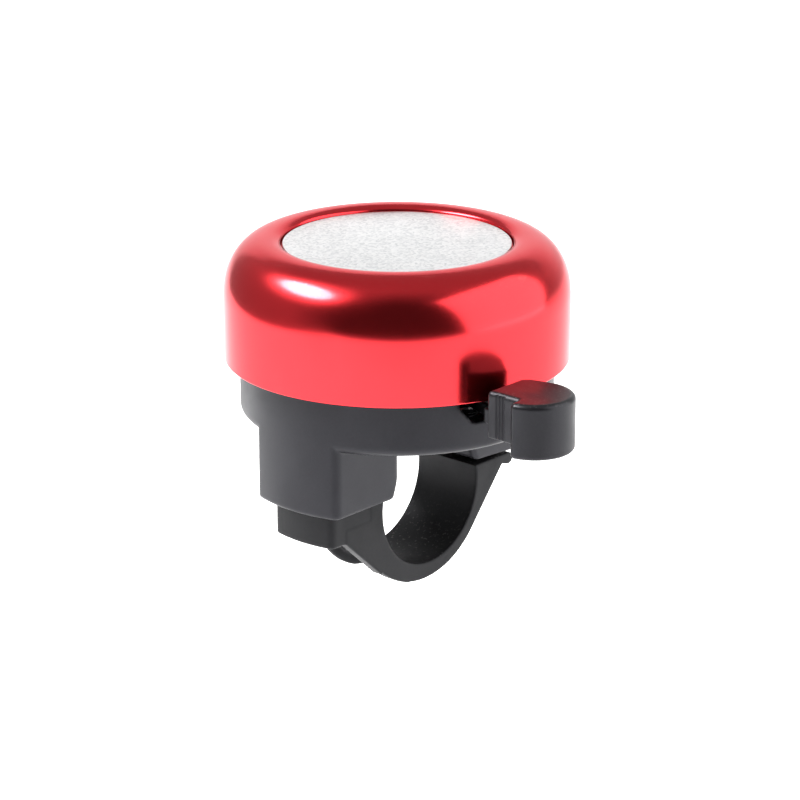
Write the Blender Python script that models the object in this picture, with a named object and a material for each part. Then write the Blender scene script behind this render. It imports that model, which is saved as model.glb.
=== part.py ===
"""Bicycle bell with a rotary striker and a hinged handlebar clamp.

The origin is the centre of the clamp, on the handlebar's axis, which runs along X.
The bell's axis is vertical. The thumb lever is on the +X side, the clamp screw on
the -Y side and the strap's hinge on the +Y side.
"""

import math

import bmesh
import bpy
from mathutils import Matrix

MM = 0.001          # every size below is in millimetres
GAP = 0.3           # air between touching pieces

# Places
BELL_Y = -1.0       # the bell's axis, seen from the handlebar's
RIM = 22.9          # height of the dome's open edge
LEVER_AT = (13.0, 1.0 + BELL_Y)
SCREW_Y = -17.8
HINGE = (19.75, 1.0)  # strap hinge: Y, Z

# Dome
DOME_R = 27.7
DOME_H = 19.4
DOME_WALL = 1.2
SHOULDER_Z = 10.0   # the side wall is straight up to here
SHOULDER_POWER = 2.2
CREST_R = 20.3      # the dome's highest circle
LIP_R = 18.5        # inner edge, rolled down from the crest
LIP_DROP = 0.9
RECESS = 1.6        # from the crest down to the recess's floor
CUP_R = 6.4
CUP_DEPTH = 3.0
STUD_HOLE_R = 2.4
BOSS_COUNT = 4
BOSS_R = 1.5
BOSS_AT = 25.7
BOSS_LOW = 2.5
BOSS_HIGH = 8.0
DISC_R = 18.2
DISC_T = 0.5

# Base drum, heights from the dome's edge
DRUM_R = 25.2
DRUM_WALL = 1.6
DRUM_LOW = -8.9
DRUM_FLOOR = -7.3
DRUM_TOP = 1.0
DRUM_FILLET = 1.4
SLOT_LOW = -4.1
SLOT_Y = (-12.2, 4.9)
SLOT_SLOPE = (2.3, 3.1)  # the slot's slanted corner, along and down
SLOT_X = 18.5            # the slot's cut stays outside this

# Clamp
BORE_R = 11.45
BORE_CHAMFER = 1.05
BLOCK_HALF = 8.6
BLOCK_LOW = 2.9
BLOCK_ROUND = 1.0
BLOCK_BACK = -10.2
POST_HALF = 6.4
POST_Y = 20.9
POST_LOW = 2.3
LUG_HALF = 2.2
KNUCKLE_R = 1.0
HINGE_HOLE_R = 0.65
HINGE_PIN_R = 0.38
HINGE_PIN_X = (-6.2, 5.1)  # pressed in from the -X side, the hole is blind
STRAP_HALF = 6.4
STRAP_CENTRE = (-1.3, 1.2)
STRAP_R = 15.34
STRAP_BEND = -105.0  # beyond this angle the loop is round about the bar
PAD_R = 23.2        # the pad's outer face, from the bell's axis
PAD_SIDES = (-6.1, 6.4)
PAD_TOP = 2.6
PAD_LOW = -2.8
PAD_ROUND = 1.4
CHEEK_INNER = 3.9
CHEEK_FROM_Y = -20.15
CHEEK_TO = (-11.8, -10.4)
HOLLOW_R = 12.85     # cored out under the pad, down to this distance from the bar
HOLLOW_X = (-5.4, 4.1)
HOLLOW_END = -97.0
HOLLOW_REACH = 19.0
HINGE_TOP = 2.0
WEDGE = (18.1, 0.45)
POCKET_R = 3.7
POCKET_TOP = -1.3
SCREW_HOLE_R = 2.3
SCREW_R = 1.6
HEAD_R = 3.1
HEAD_H = 2.2
SLOT_LONG = 1.9     # half the driver cross, along and across
SLOT_THIN = 0.4
SLOT_DEEP = 1.3
SCREW_TIP = 7.2
NUT_LOW = 4.1
NUT_H = 2.4
NUT_SIDE = 7.0
NUT_BORE_R = 2.1

# Gears
MODULE = 0.5
PRESSURE = math.radians(20.0)
BACKLASH = 0.14
ADDENDUM = 0.8
DEDENDUM = 1.15
SMALL_TEETH = 12
LARGE_TEETH = 30
SECTOR_TEETH = 36
SECTOR_BEFORE = 5   # teeth on the side that comes into mesh
SECTOR_AFTER = 2

# Layers of the movement, heights from the dome's edge
PLATE_LOW = -3.0
PLATE_HIGH = -0.9
GEAR_LOW = -0.5
GEAR_HIGH = 1.2
ARM_LOW = 2.7
ARM_HIGH = 3.7
CLAPPER_LOW = 4.1
CLAPPER_HIGH = 6.1
SPINDLE_R = 2.0
SPINDLE_TOP = 17.6
PIN_R = 1.3
IDLER_PIN_R = 1.0
SEAT_R = 16.9       # clapper pins, from the bell's axis
CLAPPER_R = 6.0
CLAPPER_HOLE_R = 2.6
CLAPPER_PIN_R = 1.6
SPACER_LOW = 5.1

# Lever
HUB_R = 4.2
NECK_Y = -12.5
NECK_X = 29.3
NECK_END = 35.4
NECK_LOW = -4.2
PAD_CENTRE = (35.3, -8.6)
THUMB_R = 6.3
THUMB_LOW = -5.5
THUMB_HIGH = 3.3
THUMB_BACK = -3.4
GROOVES = (31.2, 31.82, 32.44)
GROOVE_R = 0.22
ARM_Y = (-9.7, -3.6)   # where the arm leaves the drum

# Lever spring
SPRING_R = 3.45
SPRING_WIRE = 0.28
SPRING_TURNS = 3.25
SPRING_PITCH = 0.85
SPRING_LEGS = (5.5, 3.4)
SPRING_POST = (1.97, 5.0)
SPRING_LUG = (2.6, 4.75)


def idler_centre():
    """Where the step-up gear meshes with both the rotor's pinion and the lever's sector."""
    reach_rotor = MODULE * (LARGE_TEETH + SMALL_TEETH) / 2
    reach_lever = MODULE * (SECTOR_TEETH + SMALL_TEETH) / 2
    px = LEVER_AT[0]
    py = LEVER_AT[1] - BELL_Y
    apart = math.hypot(px, py)
    along = (reach_rotor**2 - reach_lever**2 + apart**2) / (2 * apart)
    across = math.sqrt(reach_rotor**2 - along**2)
    return (along * px - across * py) / apart, (along * py + across * px) / apart + BELL_Y


IDLER_AT = idler_centre()


def material(name, colour, roughness, metallic):
    look = bpy.data.materials.new(name)
    look.use_nodes = True
    shader = look.node_tree.nodes["Principled BSDF"]
    shader.inputs["Base Color"].default_value = (*colour, 1.0)
    shader.inputs["Roughness"].default_value = roughness
    shader.inputs["Metallic"].default_value = metallic
    look.diffuse_color = (*colour, 1.0)
    return look


def put(name, solid, look, origin=(0.0, 0.0, 0.0)):
    """Turns a solid in millimetres into an object whose origin is at the given place."""
    bmesh.ops.remove_doubles(solid, verts=solid.verts, dist=1e-4)
    bmesh.ops.recalc_face_normals(solid, faces=solid.faces)
    bmesh.ops.translate(solid, vec=[-part for part in origin], verts=solid.verts)
    bmesh.ops.scale(solid, vec=(MM, MM, MM), verts=solid.verts)
    mesh = bpy.data.meshes.new(name)
    solid.to_mesh(mesh)
    solid.free()
    mesh.materials.append(look)
    mesh.shade_smooth()
    mesh.set_sharp_from_angle(angle=math.radians(35.0))
    thing = bpy.data.objects.new(name, mesh)
    thing.location = [part * MM for part in origin]
    bpy.context.collection.objects.link(thing)
    return thing


def combine(target, operation, *others):
    for other in others:
        other.hide_render = True
        other.display_type = "WIRE"
        step = target.modifiers.new(other.name, "BOOLEAN")
        step.operation = operation
        step.solver = "EXACT"
        step.object = other
    return target


def prism(outline, low, high, along="Z"):
    """Closed prism of an outline: (x, y) pairs along Z, (y, z) pairs along X, (x, z) along Y."""
    solid = bmesh.new()
    place = {
        "Z": lambda a, b: (a, b, low),
        "X": lambda a, b: (low, a, b),
        "Y": lambda a, b: (a, low, b),
    }[along]
    step = {"Z": (0, 0, high - low), "X": (high - low, 0, 0), "Y": (0, high - low, 0)}[along]
    face = solid.faces.new([solid.verts.new(place(a, b)) for a, b in outline])
    grown = bmesh.ops.extrude_face_region(solid, geom=[face])
    moved = [part for part in grown["geom"] if isinstance(part, bmesh.types.BMVert)]
    bmesh.ops.translate(solid, vec=step, verts=moved)
    return solid


def turned(profile, centre=(0.0, BELL_Y), segments=32):
    """Spins (radius, height) pairs about a vertical axis; a bored part's profile is closed."""
    solid = bmesh.new()
    points = [solid.verts.new((radius, 0.0, height)) for radius, height in profile]
    bored = min(radius for radius, height in profile) > 0.0
    ends = points[1:] + points[:1] if bored else points[1:]
    edges = [solid.edges.new(pair) for pair in zip(points, ends)]
    bmesh.ops.spin(
        solid, geom=points + edges, cent=(0, 0, 0), axis=(0, 0, 1), angle=math.tau, steps=segments
    )
    bmesh.ops.remove_doubles(solid, verts=solid.verts, dist=1e-4)
    bmesh.ops.translate(solid, vec=(centre[0], centre[1], 0.0), verts=solid.verts)
    return solid


def disc(centre, radius, low, high, segments=24):
    return turned([(0.0, low), (radius, low), (radius, high), (0.0, high)], centre, segments)


def ring(centre, inner, outer, low, high, segments=24):
    profile = [(outer, low), (outer, high), (inner, high), (inner, low)]
    return turned(profile, centre, segments)


def join(*solids):
    """Gathers solids that don't meet into one mesh."""
    whole = bmesh.new()
    for solid in solids:
        loose = bpy.data.meshes.new("loose")
        solid.to_mesh(loose)
        solid.free()
        whole.from_mesh(loose)
        bpy.data.meshes.remove(loose)
    return whole


def arc(centre, radius, start, end, steps):
    """Points on an arc, angles in degrees, both ends included."""
    angles = [math.radians(start + (end - start) * i / steps) for i in range(steps + 1)]
    return [(centre[0] + radius * math.cos(a), centre[1] + radius * math.sin(a)) for a in angles]


def rod(y, z, radius, low, high, segments=24):
    """Solid rod along X."""
    return prism(arc((y, z), radius, 0.0, 360.0, segments)[:-1], low, high, "X")


def square(wide, deep=None):
    """Rectangle in plan about the clamp screw's axis."""
    deep = deep or wide
    return [(-wide, SCREW_Y - deep), (wide, SCREW_Y - deep), (wide, SCREW_Y + deep), (-wide, SCREW_Y + deep)]


def towards(start, end):
    return math.atan2(end[1] - start[1], end[0] - start[0])


def tooth_half_angle(radius, teeth):
    """Half the angle that an involute tooth takes up at a radius."""
    pitch = MODULE * teeth / 2
    base = pitch * math.cos(PRESSURE)
    roll = math.acos(min(1.0, base / radius))
    thickness = math.pi * MODULE / 2 - BACKLASH
    curve = math.tan(PRESSURE) - PRESSURE - (math.tan(roll) - roll)
    return thickness / (2 * pitch) + curve


def tooth(centre, teeth, direction):
    """Outline of one tooth, from its clockwise root to its other root."""
    pitch = MODULE * teeth / 2
    root = pitch - DEDENDUM * MODULE
    tip = pitch + ADDENDUM * MODULE
    base = max(root + 0.05, pitch * math.cos(PRESSURE))
    radii = [root, base, pitch, (pitch + tip) / 2, tip]
    halves = [tooth_half_angle(radius, teeth) for radius in radii]
    sides = [(r, direction - h) for r, h in zip(radii, halves)]
    sides += [(r, direction + h) for r, h in zip(reversed(radii), reversed(halves))]
    return [(centre[0] + r * math.cos(a), centre[1] + r * math.sin(a)) for r, a in sides]


def gear_outline(centre, teeth, direction):
    """A whole gear with one tooth centred on the direction."""
    outline = []
    for index in range(teeth):
        outline += tooth(centre, teeth, direction + math.tau * index / teeth)
    return outline


def sector_outline():
    """The lever's toothed sector: a gap faces the idler at rest, more teeth follow clockwise."""
    pitch_angle = math.tau / SECTOR_TEETH
    facing = towards(LEVER_AT, IDLER_AT)
    outline = [LEVER_AT]
    for index in range(-SECTOR_BEFORE, SECTOR_AFTER):
        outline += tooth(LEVER_AT, SECTOR_TEETH, facing + (index + 0.5) * pitch_angle)
    return outline


def dome_profile():
    """Outer skin from the open edge up to the lip, then the recess, the cup and the inner skin."""
    steps = 12
    power = 2.0 / SHOULDER_POWER

    def skin(inset):
        points = []
        wide = DOME_R - CREST_R - inset
        tall = DOME_H - SHOULDER_Z - inset
        for i in range(steps + 1):
            turn = math.pi / 2 * i / steps
            radius = CREST_R + wide * math.cos(turn) ** power
            height = SHOULDER_Z + tall * math.sin(turn) ** power
            points.append((radius, RIM + height))
        return points

    floor = RIM + DOME_H - RECESS
    under = floor - DOME_WALL
    outer = [(DOME_R, RIM)] + skin(0.0)
    roll = []
    for turn in (0.4, 0.8, 1.2, math.pi / 2):
        radius = CREST_R - (CREST_R - LIP_R) * math.sin(turn)
        roll.append((radius, RIM + DOME_H - LIP_DROP * (1.0 - math.cos(turn))))
    recess = roll + [(LIP_R, floor), (CUP_R, floor)]
    cup = [(CUP_R, floor - CUP_DEPTH), (STUD_HOLE_R, floor - CUP_DEPTH)]
    cup_under = [(STUD_HOLE_R, under - CUP_DEPTH), (CUP_R + DOME_WALL, under - CUP_DEPTH)]
    inner = [(CUP_R + DOME_WALL, under), (LIP_R - 0.6, under)]
    shell = [p for p in reversed(skin(DOME_WALL)) if p[0] > LIP_R + 0.5 and p[1] < under + 0.8]
    return outer + recess + cup + cup_under + inner + shell + [(DOME_R - DOME_WALL, RIM)]


def make_dome(look):
    dome = put("dome", turned(dome_profile(), segments=64), look)
    bosses = []
    for index in range(BOSS_COUNT):
        turn = math.tau * (index + 0.5) / BOSS_COUNT
        at = (BOSS_AT * math.cos(turn), BELL_Y + BOSS_AT * math.sin(turn))
        bosses.append(disc(at, BOSS_R, RIM + BOSS_LOW, RIM + BOSS_HIGH, 12))
    return combine(dome, "UNION", put("strike_bosses", join(*bosses), look))


def make_top_disc(look):
    low = RIM + DOME_H - RECESS + GAP
    return put("top_disc", disc((0.0, BELL_Y), DISC_R, low, low + DISC_T, 64), look)


def drum_profile():
    low = RIM + DRUM_LOW
    edge = DRUM_R - DRUM_FILLET
    corner = arc((edge, low + DRUM_FILLET), DRUM_FILLET, -90.0, 0.0, 5)
    inside = [
        (DRUM_R, RIM + DRUM_TOP),
        (DRUM_R - DRUM_WALL, RIM + DRUM_TOP),
        (DRUM_R - DRUM_WALL, RIM + DRUM_FLOOR),
        (0.0, RIM + DRUM_FLOOR),
    ]
    return [(0.0, low)] + corner + inside


def block_outline():
    """Plan of the screw block; its outer face is the drum's own cylinder."""
    reach = DRUM_R - 0.02
    side = BLOCK_HALF
    spread = math.degrees(math.asin((side - BLOCK_ROUND) / reach))
    face = arc((0.0, BELL_Y), reach, -90.0 - spread, -90.0 + spread, 10)
    back = BELL_Y - math.sqrt(reach**2 - side**2) + BLOCK_ROUND * 0.6
    return face + [(side, back), (side, BLOCK_BACK), (-side, BLOCK_BACK), (-side, back)]


def make_base(look):
    base = put("base_housing", turned(drum_profile(), segments=64), look)
    into_floor = RIM + DRUM_LOW + 0.8
    block = put("screw_block", prism(block_outline(), BLOCK_LOW, into_floor), look)
    side_view = [(-14.0, POST_LOW + 2.0), (POST_Y, POST_LOW), (POST_Y, into_floor), (-14.0, into_floor)]
    saddle = put("saddle", prism(side_view, -POST_HALF, POST_HALF, "X"), look)
    lug_outline = arc(HINGE, KNUCKLE_R, 180.0, 360.0, 10)
    lug_outline += [(HINGE[0] + KNUCKLE_R, 3.2), (HINGE[0] - KNUCKLE_R, 3.2)]
    lug = put("hinge_lug", prism(lug_outline, -LUG_HALF, LUG_HALF, "X"), look)
    floor = RIM + DRUM_FLOOR - 0.5
    stand = RIM + PLATE_LOW - GAP
    bosses = join(
        disc((0.0, BELL_Y), 3.0, floor, RIM + GEAR_LOW - GAP, 24),
        disc(LEVER_AT, 2.6, floor, stand, 24),
        disc(IDLER_AT, 2.2, floor, stand, 24),
        disc((LEVER_AT[0] - SPRING_POST[0], LEVER_AT[1] - SPRING_POST[1]), 0.9, floor, stand - 1.0, 12),
    )
    combine(base, "UNION", block, saddle, lug, put("bosses", bosses, look))

    bore = rod(0.0, 0.0, BORE_R, -30.0, 30.0, 48)
    combine(base, "DIFFERENCE", put("bar_bore", bore, look), put("bore_flare", bore_flare(), look))
    pocket_plan = square(NUT_SIDE / 2 + GAP)
    pocket = put("nut_pocket", prism(pocket_plan, NUT_LOW - GAP, RIM + DRUM_FLOOR + 1.0), look)
    holes = join(
        disc((0.0, SCREW_Y), SCREW_HOLE_R, 0.0, NUT_LOW, 20),
        disc((0.0, BELL_Y), SPINDLE_R + GAP, RIM + DRUM_FLOOR - 0.4, RIM, 24),
        disc(LEVER_AT, PIN_R + GAP, RIM + DRUM_FLOOR - 0.4, RIM, 20),
        disc(IDLER_AT, IDLER_PIN_R + GAP, RIM + DRUM_FLOOR - 0.4, RIM, 20),
        rod(HINGE[0], HINGE[1], HINGE_HOLE_R, -5.0, 5.0, 16),
    )
    low = RIM + SLOT_LOW
    high = RIM + DRUM_TOP + 1.0
    start, end = SLOT_Y
    slant = [(start, low + SLOT_SLOPE[1]), (start + SLOT_SLOPE[0], low)]
    window = slant + [(end, low), (end, high), (start, high)]
    slot = put("lever_slot", prism(window, SLOT_X, DRUM_R + 1.0, "X"), look)
    return combine(base, "DIFFERENCE", pocket, put("holes", holes, look), slot)


def bore_flare():
    """The bore widens where it leaves the block's two side faces."""
    wide = BORE_R + BORE_CHAMFER
    flares = []
    for side in (-1.0, 1.0):
        solid = turned([(0.0, 0.0), (BORE_R - 0.01, 0.0), (wide + 0.5, 1.6), (0.0, 1.6)], (0.0, 0.0), 48)
        quarter = Matrix.Rotation(side * math.pi / 2, 3, "Y")
        bmesh.ops.rotate(solid, cent=(0, 0, 0), matrix=quarter, verts=solid.verts)
        bmesh.ops.translate(solid, vec=(side * (BLOCK_HALF - BORE_CHAMFER), 0.0, 0.0), verts=solid.verts)
        flares.append(solid)
    return join(*flares)


def strap_outline():
    """Side view of the strap, (y, z): loop, wedge and hinge knuckle, with the pad's root."""
    inner_pad = 180.0 - math.degrees(math.asin(PAD_TOP / BORE_R))
    inner_hinge = math.degrees(math.asin(HINGE_TOP / BORE_R))
    loop = arc((0.0, 0.0), BORE_R, inner_pad, inner_hinge + 360.0, 36)
    knuckle = arc(HINGE, KNUCKLE_R, 90.0, -100.0, 12)
    outside = arc(STRAP_CENTRE, STRAP_R, -42.5, STRAP_BEND, 16)
    bend = outside[-1]
    bend_r = math.hypot(*bend)
    root = -180.0 + math.degrees(math.asin(-PAD_LOW / bend_r))
    round_bar = arc((0.0, 0.0), bend_r, math.degrees(math.atan2(bend[1], bend[0])), root, 12)[1:]
    top = (-math.sqrt(bend_r**2 - PAD_TOP**2), PAD_TOP)
    return loop + knuckle + [WEDGE] + outside + round_bar + [top]


def pad_outline():
    """Plan of the screw pad: an outer face round the bell's axis and two rounded corners."""
    left, right = PAD_SIDES
    inside = PAD_R - PAD_ROUND
    corners = [(x, BELL_Y - math.sqrt(inside**2 - x**2)) for x in (left + PAD_ROUND, right - PAD_ROUND)]
    angles = [math.degrees(towards((0.0, BELL_Y), corner)) for corner in corners]
    face = arc(corners[0], PAD_ROUND, -180.0, angles[0], 4)
    face += arc((0.0, BELL_Y), PAD_R, angles[0], angles[1], 8)[1:-1]
    face += arc(corners[1], PAD_ROUND, angles[1], 0.0, 4)
    back = -BORE_R - 1.8
    return face + [(right, back), (left, back)]


def cheek_outline():
    """Side view of the rib that carries the pad's load down into the loop."""
    start = math.degrees(math.atan2(CHEEK_TO[1] - STRAP_CENTRE[1], CHEEK_TO[0] - STRAP_CENTRE[0]))
    outside = arc(STRAP_CENTRE, STRAP_R, start, STRAP_BEND, 6)
    inside = arc((0.0, 0.0), BORE_R + 1.3, -100.0, -178.0, 10)
    return [(CHEEK_FROM_Y, PAD_LOW + 0.01), CHEEK_TO] + outside + inside + [(CHEEK_FROM_Y, -0.5)]


def hollow_outline():
    """Side view of the hollow between the two ribs under the pad."""
    top = PAD_LOW - 0.2
    start = -180.0 + math.degrees(math.asin(-top / HOLLOW_R))
    floor = arc((0.0, 0.0), HOLLOW_R, start, HOLLOW_END, 12)
    return floor + [(floor[-1][0] - 0.7, -HOLLOW_REACH), (-HOLLOW_REACH, -HOLLOW_REACH), (-HOLLOW_REACH, top)]


def make_strap(look):
    pivot = (0.0, HINGE[0], HINGE[1])
    strap = put("clamp_strap", prism(strap_outline(), -STRAP_HALF, STRAP_HALF, "X"), look, pivot)
    pad = put("screw_pad", prism(pad_outline(), PAD_LOW, PAD_TOP), look)
    cheek = put("pad_cheek", prism(cheek_outline(), CHEEK_INNER, STRAP_HALF, "X"), look)
    combine(strap, "UNION", pad, cheek)

    clear = LUG_HALF + GAP
    near = HINGE[0] - 1.7
    notch = prism([(-clear, near), (clear, near), (clear, 30.0), (-clear, 30.0)], -5.0, 8.0)
    bores = join(
        disc((0.0, SCREW_Y), SCREW_R + GAP, POCKET_TOP - 1.0, PAD_TOP + 1.0, 20),
        rod(HINGE[0], HINGE[1], HINGE_HOLE_R, -10.0, HINGE_PIN_X[1] + GAP, 16),
    )
    pocket = put("screw_pocket", disc((0.0, SCREW_Y), POCKET_R, -16.0, POCKET_TOP, 24), look)
    holes = put("strap_bores", bores, look)
    hollow = put("strap_hollow", prism(hollow_outline(), HOLLOW_X[0], HOLLOW_X[1], "X"), look)
    return combine(strap, "DIFFERENCE", hollow, put("lug_notch", notch, look), holes, pocket)


def make_screw(look):
    top = POCKET_TOP - GAP
    low = top - HEAD_H
    profile = [
        (0.0, low), (HEAD_R - 0.6, low), (HEAD_R, low + 0.6), (HEAD_R, top),
        (SCREW_R, top), (SCREW_R, SCREW_TIP - 0.4), (SCREW_R - 0.4, SCREW_TIP), (0.0, SCREW_TIP),
    ]
    screw = put("clamp_screw", turned(profile, (0.0, SCREW_Y), 20), look, (0.0, SCREW_Y, top))
    cross = []
    for wide, deep in ((SLOT_LONG, SLOT_THIN), (SLOT_THIN, SLOT_LONG)):
        cross.append(put("driver_slot", prism(square(wide, deep), low - 1.0, low + SLOT_DEEP), look))
    return combine(screw, "DIFFERENCE", *cross)


def make_nut(look):
    nut = put("clamp_nut", prism(square(NUT_SIDE / 2), NUT_LOW, NUT_LOW + NUT_H), look)
    bore = disc((0.0, SCREW_Y), NUT_BORE_R, NUT_LOW - 1.0, NUT_LOW + NUT_H + 1.0, 20)
    return combine(nut, "DIFFERENCE", put("nut_bore", bore, look))


def grooved_pin(name, centre, radius, low, top, groove, look):
    """Pivot pin with a groove for its retaining ring."""
    neck = radius - 0.35
    profile = [
        (0.0, low), (radius, low), (radius, groove - 0.2), (neck, groove - 0.2),
        (neck, groove + 0.7), (radius, groove + 0.7), (radius, top), (0.0, top),
    ]
    return put(name, turned([(r, RIM + z) for r, z in profile], centre, 20), look)


def clip(name, centre, radius, low, look, thickness=0.5):
    solid = ring(centre, radius - 0.15, radius + 1.1, RIM + low, RIM + low + thickness, 20)
    return put(name, solid, look)


def make_spindle(look):
    neck = SPINDLE_R - 0.45
    groove = ARM_HIGH + 0.2
    profile = [
        (0.0, DRUM_FLOOR), (SPINDLE_R, DRUM_FLOOR), (SPINDLE_R, groove), (neck, groove),
        (neck, groove + 1.0), (SPINDLE_R, groove + 1.0), (SPINDLE_R, SPINDLE_TOP - 0.4),
        (SPINDLE_R - 0.4, SPINDLE_TOP), (0.0, SPINDLE_TOP),
    ]
    return put("spindle", turned([(r, RIM + z) for r, z in profile], segments=24), look)


def make_dome_fixings(look):
    seat = RIM + DOME_H - RECESS - CUP_DEPTH
    spacer = ring((0.0, BELL_Y), SPINDLE_R + GAP, 3.6, RIM + SPACER_LOW, seat - DOME_WALL - GAP)
    put("dome_spacer", spacer, look)
    put("dome_washer", ring((0.0, BELL_Y), SPINDLE_R + GAP, 4.2, seat + GAP, seat + GAP + 0.5), look)
    low = seat + GAP + 0.5 + 0.2
    hexagon = arc((0.0, BELL_Y), 4.0, 0.0, 360.0, 6)[:-1]
    nut = put("dome_nut", prism(hexagon, low, low + 1.7), look)
    bore = disc((0.0, BELL_Y), SPINDLE_R + 0.2, low - 1.0, low + 3.0, 24)
    return combine(nut, "DIFFERENCE", put("dome_nut_bore", bore, look))


def make_rotor_pinion(look):
    facing = towards((0.0, BELL_Y), IDLER_AT) + math.pi / SMALL_TEETH
    outline = gear_outline((0.0, BELL_Y), SMALL_TEETH, facing)
    origin = (0.0, BELL_Y, RIM + GEAR_LOW)
    pinion = put("rotor_pinion", prism(outline, RIM + GEAR_LOW, RIM + GEAR_HIGH + 0.3), look, origin)
    collar = disc((0.0, BELL_Y), 3.2, RIM + GEAR_HIGH, RIM + ARM_LOW - GAP, 24)
    sleeve = disc((0.0, BELL_Y), 2.8, RIM + GEAR_HIGH, RIM + ARM_HIGH + 0.1, 24)
    bore = disc((0.0, BELL_Y), SPINDLE_R + 0.25, RIM + GEAR_LOW - 1.0, RIM + ARM_HIGH + 1.0, 24)
    combine(pinion, "UNION", put("pinion_collar", collar, look), put("pinion_sleeve", sleeve, look))
    return combine(pinion, "DIFFERENCE", put("pinion_bore", bore, look))


def make_clapper_arm(look):
    """Flat bar with round ends and a round middle."""
    half = 3.6
    centre = (0.0, BELL_Y)
    middle = math.degrees(math.asin(half / 6.0))
    outline = arc((SEAT_R, BELL_Y), half, -90.0, 90.0, 10)
    outline += arc(centre, 6.0, middle, 180.0 - middle, 10)
    outline += arc((-SEAT_R, BELL_Y), half, 90.0, 270.0, 10)
    outline += arc(centre, 6.0, 180.0 + middle, 360.0 - middle, 10)
    origin = (0.0, BELL_Y, RIM + ARM_LOW)
    arm = put("clapper_arm", prism(outline, RIM + ARM_LOW, RIM + ARM_HIGH), look, origin)
    holes = join(
        disc(centre, 2.8 + GAP, RIM, RIM + ARM_HIGH + 1.0, 24),
        disc((SEAT_R, BELL_Y), CLAPPER_PIN_R + GAP, RIM, RIM + ARM_HIGH + 1.0, 16),
        disc((-SEAT_R, BELL_Y), CLAPPER_PIN_R + GAP, RIM, RIM + ARM_HIGH + 1.0, 16),
    )
    return combine(arm, "DIFFERENCE", put("arm_holes", holes, look))


def make_clapper(suffix, side, look, pin_look):
    centre = (side * SEAT_R, BELL_Y)
    rivet = [
        (0.0, ARM_LOW - 0.8), (2.4, ARM_LOW - 0.8), (2.4, ARM_LOW - GAP), (CLAPPER_PIN_R, ARM_LOW - GAP),
        (CLAPPER_PIN_R, CLAPPER_HIGH + 0.4), (3.3, CLAPPER_HIGH + 0.4), (3.3, CLAPPER_HIGH + 0.8),
        (2.7, CLAPPER_HIGH + 1.0), (0.0, CLAPPER_HIGH + 1.0),
    ]
    put("clapper_pin_" + suffix, turned([(r, RIM + z) for r, z in rivet], centre, 20), pin_look)
    washer = ring(centre, CLAPPER_HOLE_R, CLAPPER_R, RIM + CLAPPER_LOW, RIM + CLAPPER_HIGH, 32)
    return put("clapper_" + suffix, washer, look, (centre[0], centre[1], RIM + CLAPPER_LOW))


def make_idler(look):
    origin = (IDLER_AT[0], IDLER_AT[1], RIM + GEAR_LOW)
    large = gear_outline(IDLER_AT, LARGE_TEETH, towards(IDLER_AT, (0.0, BELL_Y)))
    gear = put("idler_gear", prism(large, RIM + GEAR_LOW, RIM + GEAR_HIGH), look, origin)
    small_plan = gear_outline(IDLER_AT, SMALL_TEETH, towards(IDLER_AT, LEVER_AT))
    small = prism(small_plan, RIM + PLATE_LOW, RIM + GEAR_LOW + 0.5)
    bore = disc(IDLER_AT, IDLER_PIN_R + 0.25, RIM + PLATE_LOW - 1.0, RIM + GEAR_HIGH + 1.0, 20)
    combine(gear, "UNION", put("idler_pinion", small, look))
    return combine(gear, "DIFFERENCE", put("idler_bore", bore, look))


def thumb_outline():
    """Plan of the thumb pad and its neck."""
    outline = [(NECK_X, NECK_Y), (NECK_END, NECK_Y)]
    outline += [(NECK_END, NECK_Y - 1.3), (NECK_END + 0.25, NECK_Y - 2.0)]
    outline += arc(PAD_CENTRE, THUMB_R, -81.8, 95.0, 24)
    return outline + [(NECK_X + 1.2, THUMB_BACK), (NECK_X, THUMB_BACK - 1.2)]


def make_lever(look):
    """Sector, hub, arm, gusset and thumb pad, all one moulding."""
    low = RIM + PLATE_LOW
    high = RIM + PLATE_HIGH
    origin = (LEVER_AT[0], LEVER_AT[1], low)
    lever = put("thumb_lever", prism(sector_outline(), low, high), look, origin)
    hub = put("lever_hub", disc(LEVER_AT, HUB_R, low, high, 32), look)
    arm = put("lever_arm", prism(arm_outline(), low, high), look)
    thumb = [(x, y + BELL_Y) for x, y in thumb_outline()]
    pad = put("thumb_pad", prism(thumb, RIM + THUMB_LOW, RIM + THUMB_HIGH), look)
    neck_inside = NECK_X + 1.0
    wedge_from = DRUM_R + 1.0
    gusset = [(wedge_from, low), (neck_inside, RIM + NECK_LOW), (neck_inside, high), (wedge_from, high)]
    web = put("lever_gusset", prism(gusset, ARM_Y[0] + BELL_Y, ARM_Y[1] + BELL_Y, "Y"), look)
    lug_at = (LEVER_AT[0] + SPRING_LUG[0], LEVER_AT[1] - SPRING_LUG[1])
    lug = put("spring_lug", disc(lug_at, 0.7, low - 1.4, low + 1.0, 12), look)
    combine(lever, "UNION", hub, arm, pad, web, lug)

    below = RIM + THUMB_LOW - 1.0
    side = NECK_END - 0.2
    under = [(NECK_X - 1.0, below), (side, below), (side, RIM + NECK_LOW), (NECK_X - 1.0, RIM + NECK_LOW)]
    step = put("neck_step", prism(under, -20.0, 5.0, "Y"), look)
    grooves = [disc((x, NECK_Y + BELL_Y), GROOVE_R, below, high + 10.0, 8) for x in GROOVES]
    bore = put("lever_bore", disc(LEVER_AT, PIN_R + 0.25, low - 1.0, high + 1.0, 24), look)
    return combine(lever, "DIFFERENCE", step, put("grip_grooves", join(*grooves), look), bore)


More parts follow.
